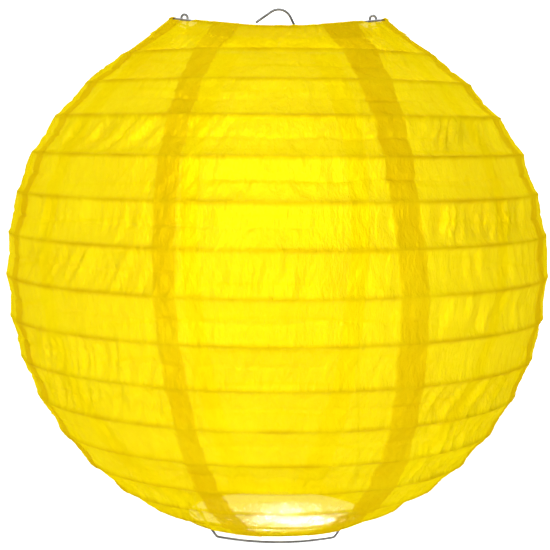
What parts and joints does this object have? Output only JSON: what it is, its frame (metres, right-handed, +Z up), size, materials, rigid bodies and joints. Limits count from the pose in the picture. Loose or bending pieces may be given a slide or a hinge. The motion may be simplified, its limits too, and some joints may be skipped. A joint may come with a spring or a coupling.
{
  "type": "accordion lantern",
  "caption": "Round collapsible hanging lantern: a ribbed fabric shell on wire hoops, held open by a sprung wire expander with a top hook.",
  "frame": {"origin": "the seat inside the crown of the hanging hook, where the cord carries the lantern", "axes": "+Z up along the lantern's axis, +X to the right along the expander's crossbar and base, -Y to the front"},
  "size_m": [0.356, 0.356, 0.3583],
  "materials": {
    "shell_fabric": "satin-weave nylon, lightly translucent",
    "rib_wire": "drawn spring-steel wire",
    "frame_wire": "drawn galvanised wire"
  },
  "bodies": {
    "hook": {"hanging_hook": "frame_wire"},
    "expander": {"expander_frame": "frame_wire", "expander_crossbar": "frame_wire", "top_rim_ring": "rib_wire", "gore_1": "shell_fabric", "gore_2": "shell_fabric", "gore_3": "shell_fabric", "gore_4": "shell_fabric", "gore_5": "shell_fabric", "gore_6": "shell_fabric", "gore_7": "shell_fabric", "gore_8": "shell_fabric"},
    "bottom_ring": {"bottom_rim_ring": "rib_wire"},
    "rib_01": {"rib_01": "rib_wire"},
    "rib_02": {"rib_02": "rib_wire"},
    "rib_03": {"rib_03": "rib_wire"},
    "rib_04": {"rib_04": "rib_wire"},
    "rib_05": {"rib_05": "rib_wire"},
    "rib_06": {"rib_06": "rib_wire"},
    "rib_07": {"rib_07": "rib_wire"},
    "rib_08": {"rib_08": "rib_wire"},
    "rib_09": {"rib_09": "rib_wire"},
    "rib_10": {"rib_10": "rib_wire"},
    "rib_11": {"rib_11": "rib_wire"},
    "rib_12": {"rib_12": "rib_wire"},
    "rib_13": {"rib_13": "rib_wire"},
    "rib_14": {"rib_14": "rib_wire"}
  },
  "joints": [
    {"name": "hook_swing", "type": "hinge", "parent": "hook", "child": "expander", "pos_m": [0, 0, -0.0276], "axis": [1, 0, 0], "range_deg": [-65, 65]},
    {"name": "collapse", "type": "slide", "parent": "expander", "child": "bottom_ring", "axis": [0, 0, 1], "range_m": [0, 0.2944], "deforming": ["gore_1", "gore_2", "gore_3", "gore_4", "gore_5", "gore_6", "gore_7", "gore_8"]},
    {"name": "rib_01_slide", "type": "slide", "parent": "expander", "child": "rib_01", "axis": [0, 0, 1], "range_m": [0, 0.01801]},
    {"name": "rib_02_slide", "type": "slide", "parent": "expander", "child": "rib_02", "axis": [0, 0, 1], "range_m": [0, 0.03461]},
    {"name": "rib_03_slide", "type": "slide", "parent": "expander", "child": "rib_03", "axis": [0, 0, 1], "range_m": [0, 0.0537]},
    {"name": "rib_04_slide", "type": "slide", "parent": "expander", "child": "rib_04", "axis": [0, 0, 1], "range_m": [0, 0.07484]},
    {"name": "rib_05_slide", "type": "slide", "parent": "expander", "child": "rib_05", "axis": [0, 0, 1], "range_m": [0, 0.09755]},
    {"name": "rib_06_slide", "type": "slide", "parent": "expander", "child": "rib_06", "axis": [0, 0, 1], "range_m": [0, 0.12132]},
    {"name": "rib_07_slide", "type": "slide", "parent": "expander", "child": "rib_07", "axis": [0, 0, 1], "range_m": [0, 0.14559]},
    {"name": "rib_08_slide", "type": "slide", "parent": "expander", "child": "rib_08", "axis": [0, 0, 1], "range_m": [0, 0.16981]},
    {"name": "rib_09_slide", "type": "slide", "parent": "expander", "child": "rib_09", "axis": [0, 0, 1], "range_m": [0, 0.19343]},
    {"name": "rib_10_slide", "type": "slide", "parent": "expander", "child": "rib_10", "axis": [0, 0, 1], "range_m": [0, 0.21589]},
    {"name": "rib_11_slide", "type": "slide", "parent": "expander", "child": "rib_11", "axis": [0, 0, 1], "range_m": [0, 0.2367]},
    {"name": "rib_12_slide", "type": "slide", "parent": "expander", "child": "rib_12", "axis": [0, 0, 1], "range_m": [0, 0.25537]},
    {"name": "rib_13_slide", "type": "slide", "parent": "expander", "child": "rib_13", "axis": [0, 0, 1], "range_m": [0, 0.27148]},
    {"name": "rib_14_slide", "type": "slide", "parent": "expander", "child": "rib_14", "axis": [0, 0, 1], "range_m": [0, 0.28465]}
  ],
  "couplings": [
    {"joint": "rib_01_slide", "follows": "collapse", "ratio": 0.06111},
    {"joint": "rib_02_slide", "follows": "collapse", "ratio": 0.11749},
    {"joint": "rib_03_slide", "follows": "collapse", "ratio": 0.18233},
    {"joint": "rib_04_slide", "follows": "collapse", "ratio": 0.25415},
    {"joint": "rib_05_slide", "follows": "collapse", "ratio": 0.3313},
    {"joint": "rib_06_slide", "follows": "collapse", "ratio": 0.41202},
    {"joint": "rib_07_slide", "follows": "collapse", "ratio": 0.49446},
    {"joint": "rib_08_slide", "follows": "collapse", "ratio": 0.57673},
    {"joint": "rib_09_slide", "follows": "collapse", "ratio": 0.65695},
    {"joint": "rib_10_slide", "follows": "collapse", "ratio": 0.73327},
    {"joint": "rib_11_slide", "follows": "collapse", "ratio": 0.80395},
    {"joint": "rib_12_slide", "follows": "collapse", "ratio": 0.86737},
    {"joint": "rib_13_slide", "follows": "collapse", "ratio": 0.92208},
    {"joint": "rib_14_slide", "follows": "collapse", "ratio": 0.96683}
  ]
}
